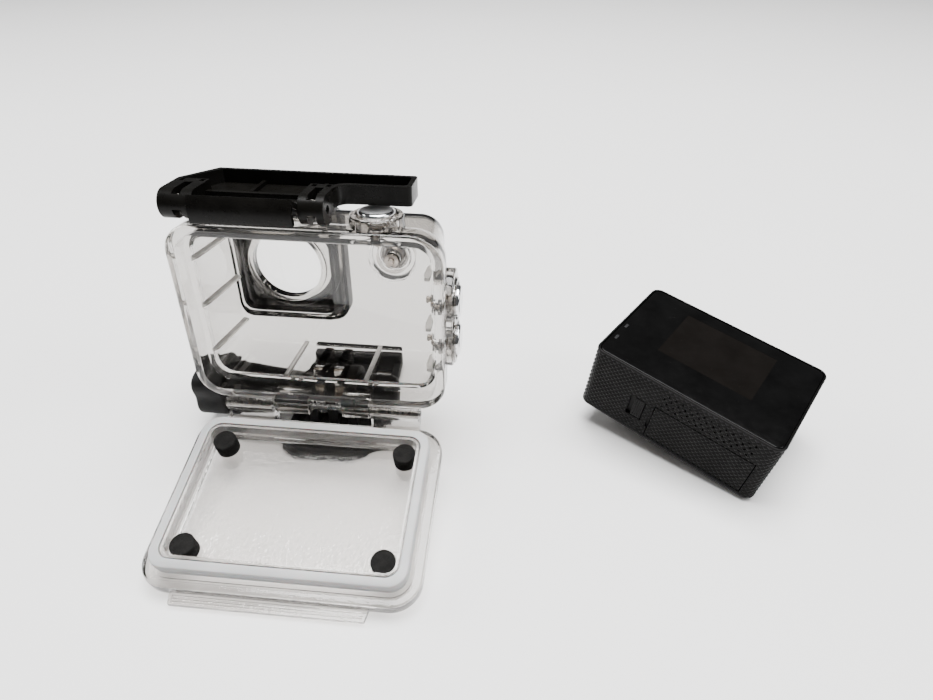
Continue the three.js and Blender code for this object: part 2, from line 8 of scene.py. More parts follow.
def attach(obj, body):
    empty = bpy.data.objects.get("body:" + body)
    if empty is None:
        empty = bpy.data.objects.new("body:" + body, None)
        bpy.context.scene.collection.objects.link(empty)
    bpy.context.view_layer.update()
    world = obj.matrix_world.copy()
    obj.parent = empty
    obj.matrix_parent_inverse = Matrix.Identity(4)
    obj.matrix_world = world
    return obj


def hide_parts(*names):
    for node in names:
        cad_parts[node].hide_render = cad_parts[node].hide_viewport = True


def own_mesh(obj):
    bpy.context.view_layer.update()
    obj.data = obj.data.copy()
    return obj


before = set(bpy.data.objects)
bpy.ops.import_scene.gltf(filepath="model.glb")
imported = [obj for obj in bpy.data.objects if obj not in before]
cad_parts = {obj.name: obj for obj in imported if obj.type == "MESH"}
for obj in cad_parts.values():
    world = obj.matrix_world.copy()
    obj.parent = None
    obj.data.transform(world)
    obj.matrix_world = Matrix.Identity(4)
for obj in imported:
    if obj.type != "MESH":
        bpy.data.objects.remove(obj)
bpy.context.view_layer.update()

# Lengths are millimetres in a local frame, and place() turns them into the frame's metres.
MM = 0.001
GAP = 0.3


def turn(axis, degrees):
    return Matrix.Rotation(math.radians(degrees), 4, axis)


def at(x, y, z):
    return Matrix.Translation(Vector((x, y, z)))


# The local frames, as the CAD has them.
BASE = Matrix.Identity(4)
CASE = at(1, -19, 22.4) @ turn("X", -6.84)
DOOR = at(1, -19.57, 15.1) @ turn("X", 11.07)
CAMERA = at(114.11, 7.58, 4.7) @ turn("Z", -32.82) @ turn("Y", 7.47) @ turn("X", 2.21)

# ---------------------------------------------------------------- mesh tools


def new_object(name, bm):
    bmesh.ops.recalc_face_normals(bm, faces=bm.faces)
    mesh = bpy.data.meshes.new(name)
    bm.to_mesh(mesh)
    bm.free()
    obj = bpy.data.objects.new(name, mesh)
    bpy.context.scene.collection.objects.link(obj)
    return obj


def loft(rings, closed=False):
    """A solid through rings of points, capped at both ends unless the last ring meets the first."""
    bm = bmesh.new()
    rows = [[bm.verts.new(p) for p in ring] for ring in rings]
    pairs = list(zip(rows, rows[1:])) + ([(rows[-1], rows[0])] if closed else [])
    for low, high in pairs:
        for i, v in enumerate(low):
            j = (i + 1) % len(low)
            bm.faces.new((v, low[j], high[j], high[i]))
    if not closed:
        bm.faces.new(rows[0][::-1])
        bm.faces.new(rows[-1])
    return new_object("part", bm)


TURN_TO = {  # (across, up, along) in a plane to (x, y, z)
    "xy": lambda u, v, w: Vector((u, v, w)),
    "xz": lambda u, v, w: Vector((u, w, v)),
    "yz": lambda u, v, w: Vector((w, u, v)),
}


def arc(x, y, r, start, end, steps=8):
    angles = [math.radians(start + (end - start) * k / steps) for k in range(steps + 1)]
    return [(x + r * math.cos(a), y + r * math.sin(a)) for a in angles]


def rounded(x0, x1, y0, y1, r, inset=0.0, steps=8):
    x0, x1, y0, y1 = x0 + inset, x1 - inset, y0 + inset, y1 - inset
    r = max(r - inset, 0.02)
    return (arc(x1 - r, y0 + r, r, -90, 0, steps) + arc(x1 - r, y1 - r, r, 0, 90, steps)
            + arc(x0 + r, y1 - r, r, 90, 180, steps) + arc(x0 + r, y0 + r, r, 180, 270, steps))


def edge_profile(lo, hi, edge_lo, edge_hi, steps=4):
    """(inset, height) pairs that round both ends of a slab."""
    quarter = [math.pi / 2 * k / steps for k in range(steps + 1)]
    low = [(edge_lo * (1 - math.sin(a)), lo + edge_lo * (1 - math.cos(a))) for a in quarter]
    high = [(edge_hi * (1 - math.sin(a)), hi - edge_hi * (1 - math.cos(a))) for a in quarter]
    return (low if edge_lo else [(0, lo)]) + (high[::-1] if edge_hi else [(0, hi)])


def slab(plane, x, y, r, w, edge=(0.0, 0.0), steps=8, profile=None):
    """A rounded rectangle of spans x and y, from w[0] to w[1] along the plane's normal."""
    profile = profile or edge_profile(*w, *edge)
    put = TURN_TO[plane]
    return loft([[put(u, v, h) for u, v in rounded(*x, *y, r, inset, steps)] for inset, h in profile])


def box(x, y, z, edge=0.0):
    return slab("xy", x, y, max(edge, 0.02), z, (edge, edge), 3 if edge else 1)


def prism(plane, points, lo, hi):
    put = TURN_TO[plane]
    return loft([[put(u, v, h) for u, v in points] for h in (lo, hi)])


def round_corners(profile, r, steps=4):
    """The profile with each inner corner drawn as a small curve."""
    points = [Vector(p) for p in profile]
    out = [points[0]]
    for a, b, c in zip(points, points[1:], points[2:]):
        reach = min(r, (a - b).length * 0.45, (c - b).length * 0.45)
        start = b + (a - b).normalized() * reach
        end = b + (c - b).normalized() * reach
        for k in range(steps + 1):
            t = k / steps
            out.append(start * (1 - t) ** 2 + b * 2 * t * (1 - t) + end * t ** 2)
    return [tuple(p) for p in out + [points[-1]]]


TURN_ABOUT = {  # (cosine part, sine part, height) about an axis to (x, y, z)
    "x": lambda c, s, h: (h, c, s),
    "y": lambda c, s, h: (s, h, c),
    "z": lambda c, s, h: (c, s, h),
}


def turned(axis, centre, profile, sides=48, soft=0.0):
    """A profile of (radius, height) pairs turned about an axis through centre.

    A profile that starts off the axis is closed onto its first point.
    """
    if soft:
        profile = round_corners(profile, soft)
    put = TURN_ABOUT[axis]
    offset = Vector(centre)
    bm = bmesh.new()
    rows = []
    for r, h in profile:
        if r < 1e-6:
            rows.append([bm.verts.new(offset + Vector(put(0, 0, h)))])
            continue
        angles = [2 * math.pi * k / sides for k in range(sides)]
        points = [offset + Vector(put(r * math.cos(a), r * math.sin(a), h)) for a in angles]
        rows.append([bm.verts.new(p) for p in points])
    closing = [] if len(rows[0]) == 1 else [(rows[-1], rows[0])]
    for low, high in list(zip(rows, rows[1:])) + closing:
        for i in range(sides):
            j = (i + 1) % sides
            quad = [low[i % len(low)], low[j % len(low)], high[j % len(high)], high[i % len(high)]]
            corners = list(dict.fromkeys(quad))
            if len(corners) > 2:
                bm.faces.new(corners)
    return new_object("part", bm)


def rod(axis, centre, r, lo, hi, sides=40, soft=0.0):
    return turned(axis, centre, [(0, lo), (r, lo), (r, hi), (0, hi)], sides, soft)


def coil(r, wire, z0, z1, turns, steps=16, sides=8):
    """A round-wire helix about local Z, as one closed tube."""
    rings = []
    count = int(turns * steps)
    for k in range(count + 1):
        a = 2 * math.pi * k / steps
        out = Vector((math.cos(a), math.sin(a), 0))
        middle = out * r + Vector((0, 0, z0 + wire + (z1 - z0 - 2 * wire) * k / count))
        rings.append([middle + (out * math.cos(b) + Vector((0, 0, math.sin(b)))) * wire
                      for b in (2 * math.pi * n / sides for n in range(sides))])
    return loft(rings)


def bake(obj):
    """Applies an object's modifiers to its mesh."""
    bpy.context.view_layer.update()
    seen = obj.evaluated_get(bpy.context.evaluated_depsgraph_get())
    mesh = bpy.data.meshes.new_from_object(seen)
    obj.modifiers.clear()
    obj.data = mesh
    return obj


def combine(base, how, tools):
    for tool in tools:
        m = base.modifiers.new("boolean", "BOOLEAN")
        m.operation, m.solver, m.object = how, "MANIFOLD", tool
    bake(base)
    for tool in tools:
        bpy.data.objects.remove(tool)
    return base


def join(base, *tools):
    return combine(base, "UNION", tools)


def cut(base, *tools):
    return combine(base, "DIFFERENCE", tools)


def common(base, *tools):
    return combine(base, "INTERSECT", tools)


def copy_of(obj):
    twin = obj.copy()
    twin.data = obj.data.copy()
    bpy.context.scene.collection.objects.link(twin)
    return twin


def moved(obj, matrix):
    obj.data.transform(matrix)
    if matrix.determinant() < 0:
        obj.data.flip_normals()
    return obj


def place(name, obj, local, body, material, nodes=(), bevel=0.0, angle=32):
    """Puts a named piece in the frame with soft edges and a finish, and lets it ride on a body."""
    obj.name = obj.data.name = name
    scale = Matrix.Diagonal((MM, MM, MM, 1))
    obj.data.transform(scale @ local)
    bm = bmesh.new()
    bm.from_mesh(obj.data)
    bmesh.ops.remove_doubles(bm, verts=bm.verts, dist=1e-6)
    if bevel:
        bmesh.ops.dissolve_limit(bm, angle_limit=math.radians(0.4), verts=bm.verts, edges=bm.edges)
    bm.to_mesh(obj.data)
    bm.free()
    for face in obj.data.polygons:
        face.use_smooth = True
    obj.data.set_sharp_from_angle(angle=math.radians(angle))
    if bevel:
        m = obj.modifiers.new("soft_edges", "BEVEL")
        m.width, m.segments, m.limit_method = bevel * MM, 2, "ANGLE"
        m.angle_limit = math.radians(angle)
        m.harden_normals = True
        m.miter_outer = "MITER_ARC"
    obj.data.materials.clear()
    obj.data.materials.append(material)
    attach(obj, body)
    if nodes:
        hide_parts(*nodes)
    return obj


# ---------------------------------------------------------------- materials


class Finish:
    """A Principled material with helpers for what its nodes drive."""

    def __init__(self, name, color, roughness, **constants):
        self.material = bpy.data.materials.new(name)
        self.material.use_nodes = True
        self.tree = self.material.node_tree
        self.shader = self.tree.nodes["Principled BSDF"]
        self.output = self.tree.nodes["Material Output"]
        self.shader.inputs["Base Color"].default_value = (*color, 1)
        self.shader.inputs["Roughness"].default_value = roughness
        for key, value in constants.items():
            self.shader.inputs[key.replace("_", " ")].default_value = value

    def node(self, kind, **sockets):
        n = self.tree.nodes.new(kind)
        for key, value in sockets.items():
            n.inputs[key.replace("_", " ")].default_value = value
        return n

    def link(self, a, b):
        self.tree.links.new(a, b)

    def coordinates(self):
        return self.node("ShaderNodeTexCoord").outputs["Object"]

    def noise(self, scale, detail=4, roughness=0.55):
        n = self.node("ShaderNodeTexNoise", Scale=scale, Detail=detail, Roughness=roughness)
        self.link(self.coordinates(), n.inputs["Vector"])
        return n.outputs["Fac"]

    def spread(self, source, low, high, start=0.3, end=0.7):
        n = self.node("ShaderNodeMapRange", From_Min=start, From_Max=end, To_Min=low, To_Max=high)
        self.link(source, n.inputs["Value"])
        return n.outputs["Result"]

    def vary_color(self, scale, dark, light, start=0.3, end=0.7):
        ramp = self.node("ShaderNodeValToRGB")
        ramp.color_ramp.elements[0].position, ramp.color_ramp.elements[1].position = start, end
        ramp.color_ramp.elements[0].color = (*dark, 1)
        ramp.color_ramp.elements[1].color = (*light, 1)
        self.link(self.noise(scale), ramp.inputs["Fac"])
        self.link(ramp.outputs["Color"], self.shader.inputs["Base Color"])
        return self

    def vary_roughness(self, scale, low, high):
        self.link(self.spread(self.noise(scale, 6), low, high), self.shader.inputs["Roughness"])
        return self

    def bump(self, source, height_mm, strength=1.0):
        n = self.node("ShaderNodeBump", Strength=strength, Distance=height_mm * MM)
        self.link(source, n.inputs["Height"])
        previous = self.shader.inputs["Normal"]
        if previous.is_linked:
            self.link(previous.links[0].from_socket, n.inputs["Normal"])
        self.link(n.outputs["Normal"], previous)
        return self

    def let_lamps_through(self, tint):
        """Shadow rays pass, as they do through clear plastic that no caustics are traced for."""
        path = self.node("ShaderNodeLightPath")
        clear = self.node("ShaderNodeBsdfTransparent", Color=(*tint, 1))
        mix = self.node("ShaderNodeMixShader")
        self.link(path.outputs["Is Shadow Ray"], mix.inputs["Fac"])
        self.link(self.shader.outputs["BSDF"], mix.inputs[1])
        self.link(clear.outputs["BSDF"], mix.inputs[2])
        self.link(mix.outputs["Shader"], self.output.inputs["Surface"])
        return self


def clear_plastic(name, color, low, high, grain=90, depth=0.02):
    f = Finish(name, color, low, IOR=1.49, Transmission_Weight=1.0)
    f.vary_roughness(260, low, high)
    f.bump(f.noise(grain, 2), depth)
    return f.let_lamps_through([0.25 + 0.75 * c for c in color]).material


def moulded_black(name, dark, light, low, high, grain, depth, shine=0.2):
    f = Finish(name, dark, low, Specular_IOR_Level=shine)
    f.vary_color(140, dark, light)
    f.vary_roughness(420, low, high)
    f.bump(f.noise(grain, 3), depth)
    return f.material


def metal(name, dark, light, low, high, scale):
    f = Finish(name, dark, low, Metallic=1.0)
    f.vary_color(scale, dark, light)
    f.vary_roughness(scale * 3, low, high)
    f.bump(f.noise(900, 2), 0.003)
    return f.material


def silicone():
    f = Finish("gasket_silicone", (0.41, 0.415, 0.415), 0.42,
               Subsurface_Weight=0.25, Subsurface_Scale=0.002)
    f.vary_color(60, (0.36, 0.365, 0.366), (0.45, 0.456, 0.458))
    f.vary_roughness(300, 0.36, 0.5)
    f.bump(f.noise(700, 3), 0.02)
    return f.material


def foam():
    f = Finish("pad_foam", (0.006, 0.006, 0.006), 0.9, Specular_IOR_Level=0.15)
    f.vary_color(500, (0.004, 0.004, 0.0038), (0.01, 0.0095, 0.009))
    cells = f.node("ShaderNodeTexVoronoi", Scale=1800.0)
    f.link(f.coordinates(), cells.inputs["Vector"])
    return f.bump(cells.outputs["Distance"], 0.12).material


CLEAR = clear_plastic("clear_polycarbonate", (0.56, 0.54, 0.515), 0.01, 0.05)
CLEAR_DOOR = clear_plastic("textured_clear", (0.62, 0.605, 0.59), 0.03, 0.12, 900, 0.05)
RIB = clear_plastic("rib_plastic", (0.78, 0.765, 0.745), 0.28, 0.42)
WINDOW = clear_plastic("window_glass", (0.86, 0.855, 0.84), 0.0, 0.015)
SILICONE = silicone()
FOAM = foam()
RUBBER = moulded_black(
    "seal_rubber", (0.012, 0.012, 0.012), (0.022, 0.022, 0.022), 0.5, 0.7, 900, 0.02)
MOUNT = moulded_black(
    "mount_plastic", (0.0035, 0.0035, 0.0035), (0.008, 0.008, 0.008), 0.4, 0.58, 1300, 0.035, 0.12)
LATCH = moulded_black(
    "latch_plastic", (0.0022, 0.002, 0.0017), (0.0045, 0.0042, 0.0036), 0.24, 0.36, 900, 0.01, 0.1)
BEZEL = moulded_black(
    "bezel_plastic", (0.011, 0.0115, 0.0125), (0.019, 0.0195, 0.021), 0.36, 0.5, 1100, 0.02)
BODY = moulded_black(
    "camera_body", (0.0028, 0.0027, 0.0026), (0.006, 0.0058, 0.0056), 0.32, 0.46, 1200, 0.012, 0.09)
GLOSS = moulded_black(
    "camera_gloss", (0.0015, 0.0015, 0.0015), (0.003, 0.003, 0.003), 0.1, 0.18, 200, 0.001)
PIN_STEEL = metal("pin_steel", (0.2, 0.2, 0.2), (0.3, 0.3, 0.3), 0.2, 0.35, 300)
STEEL = metal("steel", (0.36, 0.31, 0.27), (0.52, 0.48, 0.44), 0.2, 0.42, 300)
CHROME = metal("chrome_caps", (0.72, 0.72, 0.73), (0.82, 0.82, 0.83), 0.05, 0.16, 200)
COATED = moulded_black(
    "lens_coating", (0.01, 0.012, 0.03), (0.02, 0.012, 0.035), 0.02, 0.05, 200, 0.0)

# ---------------------------------------------------------------- mount

FINGER_R, FINGER_PITCH = 7.5, 6.2
SCREW_BORE = 2.6
SCREW = (0, -2.2, 12.5)  # the thumb screw's axis passes here


def upright_finger(x):
    y, z = SCREW[1:]
    half = 1.5
    web = slab("yz", (y - FINGER_R, y + FINGER_R), (3, z), 0.1, (x - half, x + half))
    return join(rod("x", SCREW, FINGER_R, x - half, x + half, 64), web)


def curve(a, control, b, steps=10):
    """The points after a on the quadratic curve to b."""
    points = []
    for k in range(1, steps + 1):
        t = k / steps
        start, middle, end = (1 - t) ** 2, 2 * t * (1 - t), t ** 2
        points.append(tuple(a[n] * start + control[n] * middle + b[n] * end for n in (0, 1)))
    return points


def plate_outline(x, front, shoulder):
    """The buckle's plate, whose front corners are drawn in by two wide curves."""
    left = (-x, front + 8)
    right = (x - 7.5, front)
    points = [(-x, shoulder), left] + curve(left, (-x + 1.5, front + 1.5), (-x + 7.5, front))
    points += [right] + curve(right, (x - 1.5, front + 1.5), (x, front + 8))
    return points + [(x, shoulder)]


def build_mount():
    x, front, back = 15.8, -22, 26
    y = SCREW[1]
    body = prism("xy", plate_outline(x, front, 10), 0, 2)
    parts = [
        prism("xy", plate_outline(x - 1.6, front + 1, 9.4), 1.9, 4),
        slab("xy", (-10, 13), (y - 9.5, y + 9.5), 2, (3.5, 4.7), (0, 0.3)),
        slab("xy", (-7, 7), (9, 24), 0.6, (0.05, 3.2), (0, 0.4)),
        slab("xy", (-x, x), (back - 4.6, back), 1.6, (0.4, 6.2), (0.3, 0.8)),
        *[box(span, (12, 23), (0.4, 3.4), 0.35) for span in ((-x, -x + 2.6), (x - 2.6, x))],
        *[upright_finger(k * FINGER_PITCH) for k in (-1, 0, 1)],
        rod("x", SCREW, 5.2, 7.2, 12.8, 48, 0.4)]
    first, pitch, width = back - 3.9, 1.1, 0.4
    grooves = [box((-12, 12), (first + pitch * k, first + pitch * k + width), (5.9, 7)) for k in range(4)]
    slots = [box((-13, -10.5), (-15, 4), (3.4, 5)), box((-9, 9), (front + 3, front + 4), (3.6, 5), 0.1)]
    join(body, *parts)
    cut(body, rod("x", SCREW, SCREW_BORE, -9, 14), *grooves, *slots)
    place("buckle_body", body, BASE, "base", MOUNT, ["buckle"], 0.25)
    nut_profile = [(0, 13.1), (5.2, 13.1), (5.2, 17.6), (4.4, 19.4), (2.6, 20.4), (0, 20.4)]
    nut = turned("x", SCREW, nut_profile, 48, 0.5)
    cut(nut, rod("x", SCREW, 2.5, 13, 18.8))
    place("nut_body", nut, BASE, "base", MOUNT, ["mount_nut"], 0.15)


def build_thumb_screw():
    lobes, steps, mean_r, swell = 5, 100, 9.4, 0.9
    y, z = SCREW[1:]

    def lobe_ring(x, shrink):
        ring = []
        for k in range(steps):
            a = 2 * math.pi * k / steps
            r = mean_r + swell * math.cos(lobes * a) - shrink
            ring.append((x, y + r * math.cos(a), z + r * math.sin(a)))
        return ring

    x0, x1, edge = -44, -34, 1.2
    knob = loft([lobe_ring(x, shrink) for shrink, x in edge_profile(x0, x1, edge, edge)])
    stem_profile = [(0, x1 - 1), (6.4, x1 - 1), (6, x1 + 3), (4.4, -10.2), (5.2, -9.8), (5.2, -8.2),
                    (0, -8.2)]
    stem = turned("x", SCREW, stem_profile, 48, 0.4)
    flutes = []
    for k in range(lobes):
        a = 2 * math.pi * (k + 0.5) / lobes
        reach = mean_r + 1.1
        centre = (0, y + reach * math.cos(a), z + reach * math.sin(a))
        flutes.append(rod("x", centre, 1.5, x0 + 2, x1 - 2, 20, 0.4))
    join(knob, stem)
    cut(knob, *flutes, rod("x", SCREW, 2.5, -42.3, 0), rod("x", SCREW, 5.5, x0 - 1, x0 + 0.8))
    place("knob_body", knob, BASE, "thumb_screw", MOUNT, ["thumb_knob"], 0.2)
    bolt_profile = [(0, -42), (2.2, -42), (2.2, 6)]
    thread_pitch = 0.6
    for k in range(20):
        bolt_profile += [(1.95, 6.3 + thread_pitch * k), (2.2, 6.6 + thread_pitch * k)]
    bolt = turned("x", SCREW, bolt_profile + [(1.9, 18.5), (0, 18.5)], 32)
    place("bolt_body", bolt, BASE, "thumb_screw", STEEL, ["thumb_bolt"])


# ---------------------------------------------------------------- case

PIN_R, PIN_BORE = 0.85, 1.15
RIM_X, RIM_TOP, RIM_DEPTH = 36.4, 52.4, 7.5
WALL_X, WALL_Z, WALL_BACK, WALL = 33.2, (2.8, 49.6), 27, 2.1
MOUTH_X = 32.4
SNOUT = (-15.9, 30.2)
SNOUT_HALF, SNOUT_FRONT, SNOUT_END = 17, 29.5, 31.2
WINDOW_R = 10.6
HINGE = (2.81, -3.56)
LATCH_PIN = (0, 58.2)
EARS = (-28.2, 5.1)
CASE_FINGER = (17.86, -7.83)  # the case's fingers turn about this axis
BEZEL_SCREW_REACH = 14.6
FLOOR, BOSS_TOP = 1.6, 5.4  # a button pocket's floor and its boss's top, above the wall

# A button's place on the case, with Z pointing out of the wall, and its cap's radius.
BUTTONS = {
    "shutter": (at(18.2, 8, WALL_Z[1]), 4.8),
    "mode": (at(17.4, WALL_BACK, 34.8) @ turn("X", -90), 4.4),
    "up": (at(WALL_X, 12, 29.6) @ turn("Y", 90), 4.6),
    "down": (at(WALL_X, 12, 17.3) @ turn("Y", 90), 4.6),
}


def pin_bore(axis):
    return rod("x", (0, *axis), PIN_BORE, -40, 40)


def square(half, r, y, edge=(0, 0)):
    x, z = SNOUT
    return slab("xz", (x - half, x + half), (z - half, z + half), r, y, edge)


def window_bore(r, lo, hi):
    return rod("y", (SNOUT[0], 0, SNOUT[1]), r, lo, hi, 96)


def ear(middle):
    y, z = LATCH_PIN
    r = 2.2
    points = [(y + 3, RIM_TOP - 1.2), (y + 7, RIM_TOP - 1.2)] + arc(y, z, r, 0, 200, 18)
    points += [(y + 1.6, z - 3), (y + 3, RIM_TOP)]
    return prism("yz", points, middle - 0.8, middle + 0.8)


def knuckle(x0, x1):
    y, z = HINGE
    return join(rod("x", (0, y, z), 2.6, x0, x1, 48, 0.2), box((x0, x1), (y - 2.2, y + 2.6), (z, 1)))


def case_finger(x):
    y, z = CASE_FINGER
    half = 1.3
    web = box((x - half, x + half), (y - 6.7, y + 6.7), (z, WALL_Z[0] + 0.8))
    return join(rod("x", (0, y, z), FINGER_R, x - half, x + half, 64), web)


def button_boss(matrix, cap_r):
    pocket = cap_r + 0.6
    profile = [(0, -0.5), (pocket + 2.3, -0.5), (pocket + 1.9, 1), (pocket + 1.6, BOSS_TOP),
               (0, BOSS_TOP)]
    return moved(turned("z", (0, 0, 0), profile, 64, 0.5), matrix)


def button_hollow(matrix, cap_r):
    pocket = cap_r + 0.6
    top = BOSS_TOP
    profile = [(0, -4), (2.8, -4), (2.8, -1), (1.3, -1), (1.3, 0.4), (2.3, 0.4), (2.3, FLOOR),
               (pocket, FLOOR), (pocket, top - 0.5), (pocket + 0.4, top + 0.1), (pocket + 0.4, top + 1),
               (0, top + 1)]
    return moved(turned("z", (0, 0, 0), profile, 64), matrix)


def tapered_rib(profile, z, base, top):
    """A rib on the left wall: profile holds (wall x, rib x, y) and the rib is thinner at its tip."""
    rings = []
    for wall, tip, y in profile:
        section = (wall, z - base), (tip, z - top), (tip, z + top), (wall, z + base)
        rings.append([Vector((x, y, height)) for x, height in section])
    return loft(rings)


def case_ribs():
    """Low ribs on the walls and the floor, and the small fins on the right wall."""
    inner, floor = WALL_X - WALL, WALL_Z[0] + WALL
    near, far = 5.4, 25.2
    profile = [(-0.3 - MOUTH_X, 0.2 - MOUTH_X, near), (-0.3 - MOUTH_X, 0.9 - MOUTH_X, near + 0.6),
               (-0.3 - MOUTH_X, 1.3 - MOUTH_X, near + 1.6), (-0.3 - inner, 1.4 - inner, far)]
    left = [tapered_rib(profile, z, 0.8, 0.3) for z in (12.4, 27, 41)]
    fin = [(inner + 0.8, near), (inner + 0.8, 15), (inner, 15), (inner - 0.9, 13), (inner - 1.1, 8),
           (inner - 0.6, near)]
    right = [prism("xy", fin, z - 0.5, z + 0.5) for z in (10.2, 23.4, 38.6)]
    base = [slab("xz", (x - 0.65, x + 0.65), (floor - 0.3, floor + 0.7), 0.25, (near, far), (0.3, 0))
            for x in (-11.7, 12.3)]
    return left + right + base


def flared_mouth():
    """The hollow's near part, which widens a little towards the rim."""
    low, high = WALL_Z[0] + WALL, WALL_Z[1] - WALL
    put = TURN_TO["xz"]
    return loft([[put(u, v, y) for u, v in rounded(-half, half, low, high, 4.4, 0, 10)]
                 for half, y in ((MOUTH_X, 4), (WALL_X - WALL - 0.05, 22))])


def build_case_shell():
    seats = list(BUTTONS.values())
    shell = slab("xz", (-RIM_X, RIM_X), (0, RIM_TOP), 8, (0, RIM_DEPTH), (0.7, 1.4), 12)
    inner_x, inner_z = WALL_X - WALL, (WALL_Z[0] + WALL, WALL_Z[1] - WALL)
    side = slab("yz", (4.8, 19.2), (10, 38.6), 6, (WALL_X - 0.5, WALL_X + 4.8), (0, 0.5), 10)
    join(shell,
         slab("xz", (-WALL_X, WALL_X), WALL_Z, 6.5, (RIM_DEPTH - 3, WALL_BACK), (0, 1.8), 10),
         square(SNOUT_HALF, 5, (WALL_BACK - 1.5, SNOUT_END), (0, 0.5)), side,
         *[button_boss(*s) for s in seats],
         *[ear(x) for x in EARS], knuckle(-14.5, -4.4), knuckle(5.6, 13.6),
         *[case_finger(s * FINGER_PITCH / 2 - 1) for s in (-1, 1)])
    cut(shell,
        slab("xz", (-33.7, 33.7), (2.7, 49.7), 5.6, (-1, 5), (0, 0.3), 12),
        slab("xz", (-inner_x, inner_x), inner_z, 4.5, (4, WALL_BACK - 2), (0, 1.2), 10),
        flared_mouth(),
        square(14.6, 3, (WALL_BACK - 3, SNOUT_FRONT)),
        *[button_hollow(*s) for s in seats])
    lip = rod("y", (SNOUT[0], 0, SNOUT[1]), 12.2, SNOUT_FRONT - 1.2, SNOUT_FRONT + 0.2, 96, 0.4)
    join(shell, lip)
    cut(shell, window_bore(WINDOW_R, WALL_BACK, SNOUT_END + 1),
        pin_bore(HINGE), pin_bore(LATCH_PIN), rod("x", (0, *CASE_FINGER), SCREW_BORE, -10, 10))
    place("clear_case", shell, CASE, "case", CLEAR, ["case_shell"], 0.2)
    for n, rib in enumerate(case_ribs(), 1):
        place(f"case_rib_{n}", rib, CASE, "case", RIB, (), 0.1)


def build_window():
    half, y0, y1, wall = 18.2, 29.6, 34.6, 0.9
    x, z = SNOUT
    centre = (x, 0, z)
    reach = (-BEZEL_SCREW_REACH, BEZEL_SCREW_REACH)
    spots = [(x + across, z + up) for up in reach for across in reach]
    bezel = square(half, 5.5, (y0, y1), (0.1, 0.8))
    opening = [(0, y1 - 3), (13, y1 - 3), (13, y1 - 0.8), (14, y1 + 0.2), (0, y1 + 0.2)]
    cut(bezel, square(half - wall, 5.5 - wall, (y0 - 1, y1 - 1.7)), turned("y", centre, opening, 96),
        *[rod("y", (sx, 0, sz), 1.6, y1 - 0.9, y1 + 1, 24) for sx, sz in spots])
    place("bezel_frame", bezel, CASE, "case", BEZEL, ["lens_bezel"], 0.15)
    for n, (sx, sz) in enumerate(spots, 1):
        head = rod("y", (sx, 0, sz), 1.3, y1 - 0.6, y1 + 0.2, 32, 0.15)
        cross = ((0.8, 0.17), (0.17, 0.8))
        cut(head, *[box((sx - a, sx + a), (y1 - 0.15, y1 + 1), (sz - b, sz + b)) for a, b in cross])
        place(f"screw_head_{n}", head, CASE, "case", STEEL, [f"bezel_screw_{n}"])
    y = SNOUT_END + GAP
    disc = turned("y", centre, [(0, y), (14.7, y), (14.7, y + 1.1), (0, y + 1.1)], 96, 0.1)
    place("window_disc", disc, CASE, "case", WINDOW, ["lens_window"])
    seal = turned("y", centre, [(15, y), (16.4, y), (16.4, y + 1), (15, y + 1)], 96)
    place("window_seal", seal, CASE, "case", RUBBER, ["lens_seal"], 0.2)


def build_pins():
    for name, axis, x0, x1 in (("hinge_pin", HINGE, -30, 29), ("latch_pin", LATCH_PIN, -31.4, 7.6)):
        pin = rod("x", (0, *axis), PIN_R, x0, x1, 24, 0.25)
        place(name + "_rod", pin, CASE, "case", PIN_STEEL, [name])


def button_cap(r, low, roof, top):
    """A hollow cap whose top is dished, with a short tube inside it for the stem."""
    outside = round_corners(
        [(1.3, low), (1.8, low), (1.8, roof - 0.4), (r - 0.8, roof - 0.4), (r - 0.8, low), (r, low),
         (r, top - 0.45), (r - 0.45, top), (r - 1.3, top - 0.05)], 0.25)
    steps, dip = 6, 0.35
    dish = [((r - 1.3) * k / steps, top - 0.05 - dip * (1 - (k / steps) ** 2))
            for k in range(steps - 1, -1, -1)]
    return turned("z", (0, 0, 0), outside + dish + [(0, roof), (1.3, roof)], 64)


def button_stem():
    """A rod with a notched round clip near its inner end."""
    profile = [(0, -3.4), (0.8, -3.4), (1, -3.2), (1, -2.7), (0.75, -2.6), (0.75, -2.1), (2.1, -2),
               (2.1, -1.5), (1, -1.4), (1, 5.1), (0, 5.1)]
    return cut(turned("z", (0, 0, 0), profile, 32, 0.06), box((-0.5, 0.5), (0.9, 3), (-2.2, -1.3)))


def button_o_ring():
    middle, height, thick, steps = 1.65, 1.05, 0.33, 12
    angles = [2 * math.pi * k / steps for k in range(steps)]
    section = [(middle + thick * math.cos(a), height + thick * math.sin(a)) for a in angles]
    return turned("z", (0, 0, 0), section, 40)


def build_buttons():
    low, top = FLOOR + 2.3, BOSS_TOP + 1.1
    roof = top - 1
    for name, (matrix, r) in BUTTONS.items():
        seat = CASE @ matrix
        body = f"{name}_button"
        cap = button_cap(r, low, roof, top)
        place(f"{name}_cap_disc", cap, seat, body, CHROME, [f"{name}_cap"])
        place(f"{name}_stem_rod", button_stem(), seat, body, STEEL, [f"{name}_stem"])
        foot = FLOOR + GAP
        wire = coil(2.7, 0.24, foot, roof - 0.45, 4, 28)
        place(f"{name}_coil", wire, seat, "case", STEEL, [f"{name}_spring"])
        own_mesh(wire)
        place(f"{name}_o_ring", button_o_ring(), seat, "case", RUBBER, [f"{name}_seal"])


# ---------------------------------------------------------------- door


